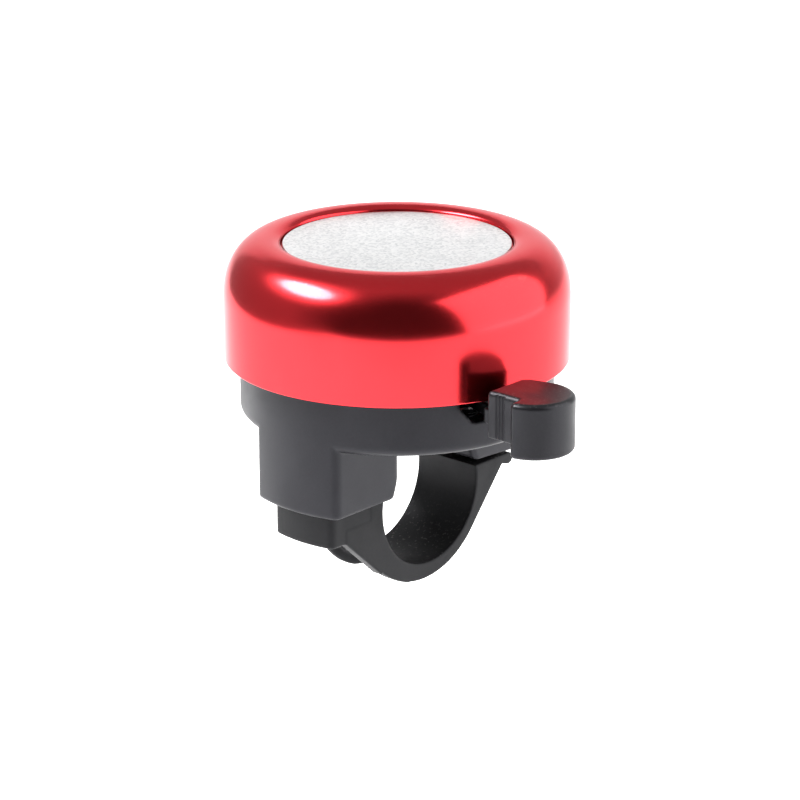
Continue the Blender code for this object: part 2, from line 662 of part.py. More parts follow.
def arm_outline():
    """Straight bar from the hub to the neck."""
    start = (LEVER_AT[0], LEVER_AT[1] - 1.6)
    end = (NECK_X + 1.6, BELL_Y + (ARM_Y[0] + ARM_Y[1]) / 2)
    heading = towards(start, end)
    half = (ARM_Y[1] - ARM_Y[0]) / 2 * math.cos(heading)
    across = (-math.sin(heading) * half, math.cos(heading) * half)
    right = [(x - across[0], y - across[1]) for x, y in (start, end)]
    left = [(x + across[0], y + across[1]) for x, y in (end, start)]
    return right + left


def spring_route():
    """Centre line of the torsion spring: leg to the base's post, coil, leg to the lever's lug."""
    steps = int(SPRING_TURNS * 20)
    route = []
    for step in range(steps + 1):
        turn = math.tau * SPRING_TURNS * step / steps - math.pi
        height = SPRING_PITCH * SPRING_TURNS * step / steps
        route.append((SPRING_R * math.cos(turn), SPRING_R * math.sin(turn), height))
    first = route[0]
    last = route[-1]
    leg_in = (first[0], first[1] - SPRING_LEGS[0], first[2])
    leg_out = (last[0] + SPRING_LEGS[1], last[1], last[2])
    return [leg_in] + route + [leg_out]


def make_lever_spring(look):
    """Round wire torsion spring about the lever's boss."""
    curve = bpy.data.curves.new("lever_spring", "CURVE")
    curve.dimensions = "3D"
    curve.bevel_depth = SPRING_WIRE * MM
    curve.bevel_resolution = 1
    curve.use_fill_caps = True
    route = spring_route()
    spline = curve.splines.new("POLY")
    spline.points.add(len(route) - 1)
    for point, (x, y, z) in zip(spline.points, route):
        point.co = (x * MM, y * MM, z * MM, 1.0)
    curve.materials.append(look)
    spring = bpy.data.objects.new("lever_spring", curve)
    start = RIM + DRUM_FLOOR + SPRING_WIRE + GAP
    spring.location = (LEVER_AT[0] * MM, LEVER_AT[1] * MM, start * MM)
    bpy.context.collection.objects.link(spring)
    return spring


def main():
    for old in list(bpy.data.objects):
        bpy.data.objects.remove(old)

    red = material("red_anodised", (0.62, 0.01, 0.02), 0.12, 1.0)
    silver = material("silver_disc", (0.86, 0.87, 0.88), 0.35, 1.0)
    black = material("black_plastic", (0.035, 0.034, 0.04), 0.35, 0.0)
    strap_black = material("strap_plastic", (0.04, 0.04, 0.042), 0.55, 0.0)
    acetal = material("white_acetal", (0.82, 0.81, 0.77), 0.4, 0.0)
    steel = material("zinc_steel", (0.62, 0.62, 0.6), 0.3, 1.0)
    spring_steel = material("spring_steel", (0.45, 0.45, 0.46), 0.25, 1.0)

    make_dome(red)
    make_top_disc(silver)
    make_base(black)
    make_spindle(steel)
    make_dome_fixings(steel)
    clip("rotor_clip", (0.0, BELL_Y), SPINDLE_R, ARM_HIGH + 0.45, spring_steel)
    grooved_pin("lever_pin", LEVER_AT, PIN_R, DRUM_FLOOR, PLATE_HIGH + 1.6, PLATE_HIGH + 0.3, steel)
    clip("lever_clip", LEVER_AT, PIN_R, PLATE_HIGH + 0.35, spring_steel, 0.4)
    grooved_pin("idler_pin", IDLER_AT, IDLER_PIN_R, DRUM_FLOOR, GEAR_HIGH + 1.1, GEAR_HIGH + 0.3, steel)
    clip("idler_clip", IDLER_AT, IDLER_PIN_R, GEAR_HIGH + 0.3, spring_steel, 0.4)
    make_lever_spring(spring_steel)
    make_rotor_pinion(acetal)
    make_clapper_arm(steel)
    make_clapper("a", 1.0, steel, steel)
    make_clapper("b", -1.0, steel, steel)
    make_idler(acetal)
    make_lever(black)
    make_strap(strap_black)
    make_screw(steel)
    make_nut(steel)
    put("strap_hinge_pin", rod(HINGE[0], HINGE[1], HINGE_PIN_R, *HINGE_PIN_X, 16), steel)


main()
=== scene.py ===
import math

import bmesh
import bpy
import numpy as np
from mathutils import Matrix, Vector


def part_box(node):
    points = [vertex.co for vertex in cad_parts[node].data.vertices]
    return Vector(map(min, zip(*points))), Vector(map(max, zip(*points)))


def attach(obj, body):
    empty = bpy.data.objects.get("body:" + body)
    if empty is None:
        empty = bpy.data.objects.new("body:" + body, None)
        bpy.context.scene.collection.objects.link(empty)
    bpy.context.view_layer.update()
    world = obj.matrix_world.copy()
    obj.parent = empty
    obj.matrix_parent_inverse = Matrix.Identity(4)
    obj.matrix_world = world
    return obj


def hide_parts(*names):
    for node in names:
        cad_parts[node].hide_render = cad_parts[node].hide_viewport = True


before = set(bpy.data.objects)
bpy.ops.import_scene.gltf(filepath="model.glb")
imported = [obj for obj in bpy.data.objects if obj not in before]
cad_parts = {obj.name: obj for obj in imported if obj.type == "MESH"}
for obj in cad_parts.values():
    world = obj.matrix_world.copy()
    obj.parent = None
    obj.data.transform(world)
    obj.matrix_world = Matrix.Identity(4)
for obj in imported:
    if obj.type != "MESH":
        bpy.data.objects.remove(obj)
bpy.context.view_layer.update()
mm = 0.001
print("frame loaded:", len(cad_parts), "nodes")


def corners(node):
    low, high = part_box(node)
    return np.array(low) / mm, np.array(high) / mm


domeLow, domeHigh = corners("dome")
baseLow, baseHigh = corners("base_housing")
discLow, discHigh = corners("top_disc")
strapLow, strapHigh = corners("clamp_strap")
leverLow, leverHigh = corners("thumb_lever")
screwLow, screwHigh = corners("clamp_screw")
leverPinLow, leverPinHigh = corners("lever_pin")
idlerPinLow, idlerPinHigh = corners("idler_pin")
hingePinLow, hingePinHigh = corners("strap_hinge_pin")

rim = domeLow[2]  # the dome's open edge
bellY = (domeLow[1] + domeHigh[1]) / 2
leverAt = (leverPinLow + leverPinHigh)[:2] / 2
idlerAt = (idlerPinLow + idlerPinHigh)[:2] / 2
hingeAt = (hingePinLow + hingePinHigh)[1:] / 2
screwY = (screwLow[1] + screwHigh[1]) / 2


# shapes are distances in mm, negative inside the material


def both(a, b, radius):
    # where both hold, with the edge between them rounded
    u = np.maximum(a + radius, 0.0)
    v = np.maximum(b + radius, 0.0)
    return np.minimum(np.maximum(a, b), -radius) + np.hypot(u, v)


def either(a, b, radius):
    return -both(-a, -b, radius)


def cut(a, b, radius):
    return both(a, -b, radius)


def between(value, low, high, radius):
    return both(low - value, value - high, radius)


def outlineField(u, v, outline):
    # distance to a closed outline of (u, v) pairs
    near = np.full(np.broadcast(u, v).shape, 1e9)
    inside = np.zeros(near.shape, bool)
    for (au, av), (bu, bv) in zip(outline, outline[1:] + outline[:1]):
        du = bu - au
        dv = bv - av
        along = np.clip(((u - au) * du + (v - av) * dv) / (du * du + dv * dv), 0.0, 1.0)
        near = np.minimum(near, (u - au - along * du) ** 2 + (v - av - along * dv) ** 2)
        if dv:
            inside ^= ((v >= av) != (v >= bv)) & (u < au + du * (v - av) / dv)
    return np.where(inside, -1.0, 1.0) * np.sqrt(near)


def arcPoints(centre, radius, start, end, step=2.0):
    count = max(2, int(abs(end - start) / step))
    angles = np.radians(np.linspace(start, end, count + 1))
    return [(centre[0] + radius * math.cos(a), centre[1] + radius * math.sin(a)) for a in angles]


def netPoints(values):
    # one point per grid cell that the surface goes through, and a quad round each crossed edge
    shape = np.array(values.shape) - 1
    inside = values < 0.0
    sums = np.zeros((shape.prod(), 3))
    counts = np.zeros(shape.prod())
    quads = []
    for axis in range(3):
        order = [axis, (axis + 1) % 3, (axis + 2) % 3]
        turnedValues = values.transpose(order)
        turnedInside = inside.transpose(order)
        at = np.argwhere(turnedInside[:-1] != turnedInside[1:])
        first = turnedValues[tuple(at.T)]
        second = turnedValues[tuple((at + [1, 0, 0]).T)]
        crossing = at.astype(float)
        crossing[:, 0] += first / (first - second)
        back = np.argsort(order)
        cells = []
        for j, k in ((1, 1), (0, 1), (0, 0), (1, 0)):
            cell = (at - [0, j, k])[:, back]
            flat = np.ravel_multi_index(tuple(cell.T), shape)
            for part in range(3):
                sums[:, part] += np.bincount(flat, crossing[:, back][:, part], len(counts))
            counts += np.bincount(flat, minlength=len(counts))
            cells.append(flat)
        quad = np.stack(cells, 1)
        leaving = turnedInside[tuple(at.T)]
        quads.append(np.where(leaving[:, None], quad, quad[:, ::-1]))
    used = counts > 0
    number = np.cumsum(used) - 1
    return sums[used] / counts[used][:, None], number[np.concatenate(quads)]


def moulded(name, field, low, high, step):
    # meshes a distance field, then pulls every point exactly onto the surface
    low = np.array(low) - 2.2 * step
    sides = [np.arange(low[i], high[i] + 2.2 * step, step) for i in range(3)]
    grid = np.broadcast_to(field(*np.ix_(*sides)), [len(side) for side in sides])
    points, quads = netPoints(grid)
    points = points * step + low
    nudge = 0.01
    for _ in range(3):
        here = field(*points.T)
        slope = np.stack([(field(*(points + nudge * axis).T) - here) / nudge for axis in np.eye(3)], 1)
        move = here[:, None] * slope / np.maximum((slope**2).sum(1), 0.3)[:, None]
        points -= np.clip(move, -0.4 * step, 0.4 * step)
    mesh = bpy.data.meshes.new(name)
    mesh.from_pydata((points * mm).tolist(), [], quads.tolist())
    return smoothPiece(name, mesh)


def smoothPiece(name, mesh, sharp=180.0):
    mesh.shade_smooth()
    if sharp < 180.0:
        mesh.set_sharp_from_angle(angle=math.radians(sharp))
    piece = bpy.data.objects.new(name, mesh)
    bpy.context.collection.objects.link(piece)
    print("made", name, "with", len(mesh.polygons), "faces")
    return piece


def lathe(profile, centre, segments):
    # closed (radius, height) profile spun about a vertical axis
    solid = bmesh.new()
    rings = []
    for radius, height in profile:
        ring = []
        for i in range(segments if radius > 0.0 else 1):
            turn = math.tau * i / segments
            spot = (centre[0] + radius * math.cos(turn), centre[1] + radius * math.sin(turn), height)
            ring.append(solid.verts.new(Vector(spot) * mm))
        rings.append(ring)
    for below, above in zip(rings, rings[1:] + rings[:1]):
        for i in range(segments):
            corner = [below[i % len(below)], below[(i + 1) % len(below)]]
            corner += [above[(i + 1) % len(above)], above[i % len(above)]]
            corner = list(dict.fromkeys(corner))
            if len(corner) > 2:
                solid.faces.new(corner)
    bmesh.ops.recalc_face_normals(solid, faces=solid.faces)
    return solid


def finished(name, *solids):
    whole = bmesh.new()
    for solid in solids:
        loose = bpy.data.meshes.new("loose")
        solid.to_mesh(loose)
        solid.free()
        whole.from_mesh(loose)
        bpy.data.meshes.remove(loose)
    mesh = bpy.data.meshes.new(name)
    whole.to_mesh(mesh)
    whole.free()
    return smoothPiece(name, mesh, 50.0)


def rounded(profile, radii, steps=6):
    # rounds the corners of a closed profile, each with its own radius
    points = []
    count = len(profile)
    for i, radius in enumerate(radii):
        here = Vector(profile[i])
        before = Vector(profile[i - 1]) - here
        after = Vector(profile[(i + 1) % count]) - here
        if radius <= 0.0:
            points.append(tuple(here))
            continue
        half = before.angle(after) / 2
        reach = min(radius / math.tan(half), before.length * 0.48, after.length * 0.48)
        start = here + before.normalized() * reach
        end = here + after.normalized() * reach
        for k in range(steps + 1):
            t = k / steps
            points.append(tuple(start * (1 - t) ** 2 + here * 2 * t * (1 - t) + end * t**2))
    return points


def addNode(tree, kind, values=None, **settings):
    made = tree.nodes.new("ShaderNode" + kind)
    for key, value in settings.items():
        setattr(made, key, value)
    for key, value in (values or {}).items():
        made.inputs[key].default_value = value
    return made


def join(tree, *pairs):
    for start, end in pairs:
        tree.links.new(start, end)


def newGroup(name, inputs, outputs):
    group = bpy.data.node_groups.new(name, "ShaderNodeTree")
    for label, kind, value in inputs:
        socket = group.interface.new_socket(name=label, in_out="INPUT", socket_type="NodeSocket" + kind)
        socket.default_value = value
    for label, kind in outputs:
        group.interface.new_socket(name=label, in_out="OUTPUT", socket_type="NodeSocket" + kind)
    return group, group.nodes.new("NodeGroupInput"), group.nodes.new("NodeGroupOutput")


def useGroup(tree, group, values):
    placed = tree.nodes.new("ShaderNodeGroup")
    placed.node_tree = group
    for key, value in values.items():
        placed.inputs[key].default_value = value
    return placed


def grainGroup():
    # moulding or blasting grain: fine bumps over a slower swell
    inputs = [("Grain Scale", "Float", 3000.0), ("Swell Scale", "Float", 120.0), ("Swell", "Float", 0.3)]
    group, start, end = newGroup("surfaceGrain", inputs, [("Height", "Float"), ("Speckle", "Float")])
    place = addNode(group, "TexCoord")
    fine = addNode(group, "TexNoise", {"Detail": 3.0, "Roughness": 0.6})
    slow = addNode(group, "TexNoise", {"Detail": 1.0})
    cells = addNode(group, "TexVoronoi")
    mixed = addNode(group, "Mix")
    join(
        group,
        (place.outputs["Object"], fine.inputs["Vector"]),
        (place.outputs["Object"], slow.inputs["Vector"]),
        (place.outputs["Object"], cells.inputs["Vector"]),
        (start.outputs["Grain Scale"], fine.inputs["Scale"]),
        (start.outputs["Grain Scale"], cells.inputs["Scale"]),
        (start.outputs["Swell Scale"], slow.inputs["Scale"]),
        (start.outputs["Swell"], mixed.inputs[0]),
        (fine.outputs["Fac"], mixed.inputs[2]),
        (slow.outputs["Fac"], mixed.inputs[3]),
        (mixed.outputs[0], end.inputs["Height"]),
        (cells.outputs["Color"], end.inputs["Speckle"]),
    )
    return group


def handlingGroup():
    # roughness that varies where fingers have been, with hair scratches across it
    inputs = [
        ("Clean", "Float", 0.2), ("Handled", "Float", 0.35),
        ("Smudge Scale", "Float", 60.0), ("Scratch Scale", "Float", 400.0), ("Scratches", "Float", 0.2),
    ]
    group, start, end = newGroup("handlingMarks", inputs, [("Roughness", "Float"), ("Scratch", "Float")])
    place = addNode(group, "TexCoord")
    smudge = addNode(group, "TexNoise", {"Detail": 4.0, "Distortion": 0.6})
    patch = addNode(group, "MapRange", {"From Min": 0.4, "From Max": 0.68}, interpolation_type="SMOOTHSTEP")
    stretch = addNode(group, "Mapping", {"Scale": (1.0, 0.06, 0.35), "Rotation": (0.3, 0.5, 0.8)})
    hair = addNode(group, "TexNoise", {"Detail": 2.0})
    line = addNode(group, "MapRange", {"From Min": 0.66, "From Max": 0.74})
    worn = addNode(group, "Math", operation="MULTIPLY")
    extra = addNode(group, "Math", operation="MULTIPLY_ADD")
    extra.inputs[1].default_value = 0.12
    join(
        group,
        (place.outputs["Object"], smudge.inputs["Vector"]),
        (place.outputs["Object"], stretch.inputs["Vector"]),
        (stretch.outputs["Vector"], hair.inputs["Vector"]),
        (start.outputs["Smudge Scale"], smudge.inputs["Scale"]),
        (start.outputs["Scratch Scale"], hair.inputs["Scale"]),
        (smudge.outputs["Fac"], patch.inputs["Value"]),
        (start.outputs["Clean"], patch.inputs["To Min"]),
        (start.outputs["Handled"], patch.inputs["To Max"]),
        (hair.outputs["Fac"], line.inputs["Value"]),
        (line.outputs["Result"], worn.inputs[0]),
        (start.outputs["Scratches"], worn.inputs[1]),
        (worn.outputs["Value"], extra.inputs[0]),
        (patch.outputs["Result"], extra.inputs[2]),
        (extra.outputs["Value"], end.inputs["Roughness"]),
        (worn.outputs["Value"], end.inputs["Scratch"]),
    )
    return group


def edgeGroup():
    # rubbed edges, broken up by noise
    inputs = [("Amount", "Float", 0.5), ("Breakup Scale", "Float", 500.0)]
    group, start, end = newGroup("rubbedEdges", inputs, [("Mask", "Float")])
    shape = addNode(group, "NewGeometry")
    place = addNode(group, "TexCoord")
    high = addNode(group, "MapRange", {"From Min": 0.515, "From Max": 0.6})
    noise = addNode(group, "TexNoise", {"Detail": 3.0})
    broken = addNode(group, "MapRange", {"From Min": 0.35, "From Max": 0.65})
    product = addNode(group, "Math", operation="MULTIPLY")
    amount = addNode(group, "Math", operation="MULTIPLY", use_clamp=True)
    join(
        group,
        (shape.outputs["Pointiness"], high.inputs["Value"]),
        (place.outputs["Object"], noise.inputs["Vector"]),
        (start.outputs["Breakup Scale"], noise.inputs["Scale"]),
        (noise.outputs["Fac"], broken.inputs["Value"]),
        (high.outputs["Result"], product.inputs[0]),
        (broken.outputs["Result"], product.inputs[1]),
        (product.outputs["Value"], amount.inputs[0]),
        (start.outputs["Amount"], amount.inputs[1]),
        (amount.outputs["Value"], end.inputs["Mask"]),
    )
    return group


def dustGroup():
    # a little dust on whatever faces up
    inputs = [("Amount", "Float", 0.1), ("Speck Scale", "Float", 2500.0)]
    group, start, end = newGroup("settledDust", inputs, [("Mask", "Float")])
    shape = addNode(group, "NewGeometry")
    place = addNode(group, "TexCoord")
    axes = addNode(group, "SeparateXYZ")
    upward = addNode(group, "MapRange", {"From Min": 0.3, "From Max": 1.0})
    specks = addNode(group, "TexNoise", {"Detail": 2.0})
    drifts = addNode(group, "TexNoise", {"Scale": 90.0, "Detail": 3.0})
    few = addNode(group, "MapRange", {"From Min": 0.6, "From Max": 0.7})
    product = addNode(group, "Math", operation="MULTIPLY")
    drifted = addNode(group, "Math", operation="MULTIPLY")
    amount = addNode(group, "Math", operation="MULTIPLY", use_clamp=True)
    join(
        group,
        (shape.outputs["Normal"], axes.inputs["Vector"]),
        (axes.outputs["Z"], upward.inputs["Value"]),
        (place.outputs["Object"], specks.inputs["Vector"]),
        (place.outputs["Object"], drifts.inputs["Vector"]),
        (start.outputs["Speck Scale"], specks.inputs["Scale"]),
        (specks.outputs["Fac"], few.inputs["Value"]),
        (few.outputs["Result"], product.inputs[0]),
        (upward.outputs["Result"], product.inputs[1]),
        (product.outputs["Value"], drifted.inputs[0]),
        (drifts.outputs["Fac"], drifted.inputs[1]),
        (drifted.outputs["Value"], amount.inputs[0]),
        (start.outputs["Amount"], amount.inputs[1]),
        (amount.outputs["Value"], end.inputs["Mask"]),
    )
    return group


surfaceGrain = grainGroup()
handlingMarks = handlingGroup()
rubbedEdges = edgeGroup()
settledDust = dustGroup()


def material(name, look):
    # the groups supply what changes over the surface; the look's fixed values sit on the shader
    made = bpy.data.materials.new(name)
    made.use_nodes = True
    tree = made.node_tree
    shader = tree.nodes["Principled BSDF"]
    for socket, value in look["shader"].items():
        shader.inputs[socket].default_value = value
    grain = useGroup(tree, surfaceGrain, look["grain"])
    marks = useGroup(tree, handlingMarks, look["handling"])
    edges = useGroup(tree, rubbedEdges, look["edges"])
    dust = useGroup(tree, settledDust, look["dust"])
    tones = addNode(tree, "ValToRGB")
    tones.color_ramp.elements[0].color = (*look["colour"], 1.0)
    tones.color_ramp.elements[1].color = (*look["second"], 1.0)
    tones.color_ramp.elements[0].position = look["tonesFrom"]
    tones.color_ramp.elements[1].position = look["tonesTo"]
    rubbed = addNode(tree, "Mix", data_type="RGBA")
    rubbed.inputs[7].default_value = (*look["rubbed"], 1.0)
    dusty = addNode(tree, "Mix", data_type="RGBA")
    dusty.inputs[7].default_value = (0.55, 0.53, 0.5, 1.0)
    relief = addNode(tree, "Bump", {"Strength": look["bump"], "Distance": look["bumpDepth"] * mm})
    scored = addNode(tree, "Bump", {"Strength": 0.3, "Distance": 0.01 * mm}, invert=True)
    join(
        tree,
        (grain.outputs[look.get("tonesBy", "Height")], tones.inputs["Fac"]),
        (tones.outputs["Color"], rubbed.inputs[6]),
        (edges.outputs["Mask"], rubbed.inputs[0]),
        (rubbed.outputs[2], dusty.inputs[6]),
        (dust.outputs["Mask"], dusty.inputs[0]),
        (dusty.outputs[2], shader.inputs["Base Color"]),
        (marks.outputs["Roughness"], shader.inputs["Roughness"]),
        (grain.outputs["Height"], relief.inputs["Height"]),
        (marks.outputs["Scratch"], scored.inputs["Height"]),
        (relief.outputs["Normal"], scored.inputs["Normal"]),
        (scored.outputs["Normal"], shader.inputs["Normal"]),
    )
    return made


def dress(piece, body, slotName, look, *nodes):
    piece.data.materials.clear()
    piece.data.materials.append(look)
    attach(piece, body)
    if nodes:
        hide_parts(*nodes)


# dome: red anodised shell

domeShape = {
    "wall": 1.2,
    "shoulder": 10.0,       # height where the side starts to turn in
    "roundness": 2.2,       # 2 is an ellipse, more is squarer
    "crestRadius": 20.3,    # the highest circle
    "lipRadius": 18.5,      # inner edge, rolled down from the crest
    "lipDrop": 0.9,
    "recess": 1.6,
    "cupRadius": 6.4,
    "cupDepth": 3.0,
    "studHole": 2.4,
    "edgeRound": 0.35,
}

anodisedLook = {
    "colour": (0.68, 0.03, 0.038),
    "second": (0.76, 0.035, 0.044),
    "rubbed": (0.82, 0.16, 0.15),
    "tonesFrom": 0.3,
    "tonesTo": 0.7,
    "bump": 0.05,
    "bumpDepth": 0.004,
    "shader": {
        "Metallic": 1.0, "Specular Tint": (0.88, 0.7, 0.72, 1.0),
        "Coat Weight": 0.15, "Coat Roughness": 0.1, "Coat IOR": 1.45,
    },
    "grain": {"Grain Scale": 5200.0, "Swell Scale": 90.0, "Swell": 0.35},
    "handling": {
        "Clean": 0.17, "Handled": 0.22, "Smudge Scale": 55.0, "Scratch Scale": 500.0, "Scratches": 0.15,
    },
    "edges": {"Amount": 0.25, "Breakup Scale": 600.0},
    "dust": {"Amount": 0.12, "Speck Scale": 2600.0},
}


def domeProfile(shape):
    radius = domeHigh[0]
    tall = domeHigh[2] - rim
    crest = shape["crestRadius"]
    lip = shape["lipRadius"]
    wall = shape["wall"]
    power = 2.0 / shape["roundness"]

    def skin(inset, steps=40):
        wide = radius - crest - inset
        rise = tall - shape["shoulder"] - inset
        turns = [math.pi / 2 * i / steps for i in range(steps + 1)]
        foot = rim + shape["shoulder"]
        return [(crest + wide * math.cos(t) ** power, foot + rise * math.sin(t) ** power) for t in turns]

    floor = rim + tall - shape["recess"]
    under = floor - wall
    cup = shape["cupRadius"]
    low = floor - shape["cupDepth"]
    outer = skin(0.0)
    for i in range(1, 12):
        turn = math.pi / 2 * i / 12
        drop = shape["lipDrop"] * (1.0 - math.cos(turn))
        outer.append((crest - (crest - lip) * math.sin(turn), rim + tall - drop))
    inner = [p for p in reversed(skin(wall)) if p[0] > lip + 0.5 and p[1] < under + 0.8]
    corner = [
        (lip, rim + tall - shape["lipDrop"]), (lip, floor), (cup, floor), (cup, low),
        (shape["studHole"], low), (shape["studHole"], low - wall),
        (cup + wall, low - wall), (cup + wall, under), (lip - 0.6, under),
    ]
    sides = [(radius - wall, rim), (radius, rim)]
    profile = outer + corner + inner + sides
    radii = [0.0] * len(outer) + [0.0, 0.3, 0.8, 0.6, 0.1, 0.1, 0.8, 0.8, 0.4] + [0.0] * len(inner)
    return rounded(profile, radii + [shape["edgeRound"], shape["edgeRound"]])


def strikeBoss(index):
    # low domed button inside the wall that the clappers hit
    turn = math.tau * (index + 0.5) / 4
    reach = 25.7
    centre = (reach * math.cos(turn), bellY + reach * math.sin(turn))
    profile = [(0.0, rim + 2.5), (1.5, rim + 2.5), (1.5, rim + 8.0), (0.0, rim + 8.0)]
    return lathe(rounded(profile, [0.0, 0.5, 0.5, 0.0]), centre, 24)


redAnodised = material("redAnodised", anodisedLook)
bellDome = finished(
    "bell_dome", lathe(domeProfile(domeShape), (0.0, bellY), 256), *[strikeBoss(i) for i in range(4)]
)
dress(bellDome, "root", "red_anodised", redAnodised, "dome")


# silver disc in the recess

discLook = {
    "colour": (0.61, 0.62, 0.63),
    "second": (0.85, 0.85, 0.85),
    "rubbed": (0.95, 0.95, 0.95),
    "tonesFrom": 0.1,
    "tonesTo": 0.7,
    "tonesBy": "Speckle",
    "bump": 0.35,
    "bumpDepth": 0.03,
    "shader": {"Metallic": 1.0},
    "grain": {"Grain Scale": 2600.0, "Swell Scale": 220.0, "Swell": 0.25},
    "handling": {
        "Clean": 0.34, "Handled": 0.46, "Smudge Scale": 90.0, "Scratch Scale": 600.0, "Scratches": 0.3,
    },
    "edges": {"Amount": 0.2, "Breakup Scale": 600.0},
    "dust": {"Amount": 0.15, "Speck Scale": 2200.0},
}


def discProfile():
    low, high, radius = discLow[2], discHigh[2], discHigh[0]
    profile = [(0.0, low), (radius, low), (radius, high), (0.0, high)]
    return rounded(profile, [0.0, 0.1, 0.2, 0.0])


silverDisc = material("silverDisc", discLook)
bellDisc = finished("bell_disc", lathe(discProfile(), (0.0, bellY), 192))
dress(bellDisc, "root", "silver_disc", silverDisc, "top_disc")


# base: black moulding with the screw block, the post and the drum

baseShape = {
    "wall": 1.6,
    "floor": rim - 7.3,
    "underside": rim - 8.9,
    "fillet": 1.4,
    "blockHalf": 8.6,
    "blockCorner": 1.0,
    "blockLow": 2.9,
    "blockBack": -10.2,
    "postHalf": 6.4,
    "postY": 20.9,
    "postLow": 2.3,
    "postRise": 0.057,       # its underside climbs toward the screw's side
    "lugHalf": 2.2,
    "lugRadius": 1.0,
    "lugTop": 3.2,
    "hingeHole": 0.65,
    "screwHole": 2.3,
    "nutHalf": 3.8,
    "nutLow": 3.8,
    "bore": 11.45,
    "boreFlare": 0.9,
    "slotLow": rim - 4.1,
    "slotX": 18.5,
    "slotY": (-12.2, 4.9),
    "slotSlant": (2.3, 3.1),  # slanted corner, along and down
}

baseLook = {
    "colour": (0.005, 0.005, 0.0065),
    "second": (0.008, 0.008, 0.01),
    "rubbed": (0.03, 0.03, 0.033),
    "tonesFrom": 0.3,
    "tonesTo": 0.7,
    "bump": 0.16,
    "bumpDepth": 0.02,
    "shader": {"Metallic": 0.0, "IOR": 1.4, "Specular Tint": (0.92, 0.91, 1.0, 1.0)},
    "grain": {"Grain Scale": 2400.0, "Swell Scale": 160.0, "Swell": 0.3},
    "handling": {
        "Clean": 0.36, "Handled": 0.46, "Smudge Scale": 70.0, "Scratch Scale": 350.0, "Scratches": 0.3,
    },
    "edges": {"Amount": 0.5, "Breakup Scale": 500.0},
    "dust": {"Amount": 0.12, "Speck Scale": 2400.0},
}


def drumField(r, z, shape):
    outer = baseHigh[0]
    body = both(r - outer, shape["underside"] - z, shape["fillet"])
    body = both(body, z - baseHigh[2], 0.4)
    hollow = both(r - (outer - shape["wall"]), shape["floor"] - z, 0.8)
    return cut(body, hollow, 0.35)


def lugField(x, y, z, shape):
    # hinge knuckle under the post's outer end
    radius = shape["lugRadius"]
    knuckle = np.hypot(y - hingeAt[0], z - hingeAt[1]) - radius
    stem = np.maximum(np.abs(y - hingeAt[0]) - radius, between(z, hingeAt[1], shape["lugTop"], 0.0))
    return both(np.minimum(knuckle, stem), np.abs(x) - shape["lugHalf"], 0.3)


def insideBosses(x, y, z, shape):
    stand = rim - 3.3
    seats = [((0.0, bellY), 3.0, rim - 0.8), (leverAt, 2.6, stand), (idlerAt, 2.2, stand)]
    seats.append(((leverAt[0] - 1.97, leverAt[1] - 5.0), 0.9, stand - 1.0))
    whole = np.full(np.broadcast(x, y, z).shape, 1e9)
    for (cx, cy), radius, top in seats:
        seat = both(np.hypot(x - cx, y - cy) - radius, between(z, shape["floor"] - 0.5, top, 0.0), 0.2)
        whole = np.minimum(whole, seat)
    return whole


def baseField(x, y, z):
    shape = baseShape
    r = np.hypot(x, y - bellY)
    outer = baseHigh[0]
    deep = z - shape["floor"] + 0.4
    drum = drumField(r, z, shape)
    block = both(np.abs(x) - shape["blockHalf"], r - outer, shape["blockCorner"])
    block = both(both(block, y - shape["blockBack"], 0.8), shape["blockLow"] - z, 0.6)
    slope = shape["postLow"] + (shape["postY"] - y) * shape["postRise"]
    post = both(np.abs(x) - shape["postHalf"], y - shape["postY"], 0.6)
    post = both(np.maximum(post, -14.0 - y), slope - z, 0.35)
    below = np.maximum(np.minimum(block, post), deep)
    soft = np.clip((outer - r) * 0.45, 0.02, 0.6)  # the fillet dies out at the drum's own face
    body = either(drum, below, soft)
    body = either(body, lugField(x, y, z, shape), 0.25)
    bore = np.hypot(y, z) - shape["bore"]
    body = cut(body, bore, shape["boreFlare"])
    body = np.minimum(body, insideBosses(x, y, z, shape))
    for (cx, cy), radius, low, high in (
        ((0.0, bellY), 2.3, shape["floor"] - 0.4, 99.0),
        (leverAt, 1.6, shape["floor"] - 0.4, 99.0),
        (idlerAt, 1.3, shape["floor"] - 0.4, 99.0),
        ((0.0, screwY), shape["screwHole"], -1.0, 5.0),
    ):
        hole = np.maximum(np.hypot(x - cx, y - cy) - radius, between(z, low, high, 0.0))
        body = cut(body, hole, 0.1)
    pocket = both(np.abs(x) - shape["nutHalf"], np.abs(y - screwY) - shape["nutHalf"], 0.3)
    body = cut(body, np.maximum(pocket, between(z, shape["nutLow"], 17.0, 0.0)), 0.2)
    body = cut(body, np.hypot(y - hingeAt[0], z - hingeAt[1]) - shape["hingeHole"], 0.1)
    start, end = shape["slotY"]
    along, down = shape["slotSlant"]
    window = both(between(y, start, end, 0.3), shape["slotLow"] - z, 0.3)
    slant = (start - y) * down + (shape["slotLow"] + down - z) * along
    window = both(window, slant / math.hypot(along, down), 0.5)
    return cut(body, np.maximum(window, shape["slotX"] - x), 0.25)


blackPlastic = material("blackPlastic", baseLook)
bellBase = moulded("bell_base", baseField, baseLow, baseHigh, 0.28)
dress(bellBase, "root", "black_plastic", blackPlastic, "base_housing")


# strap: matt black loop, screw pad and two ribs

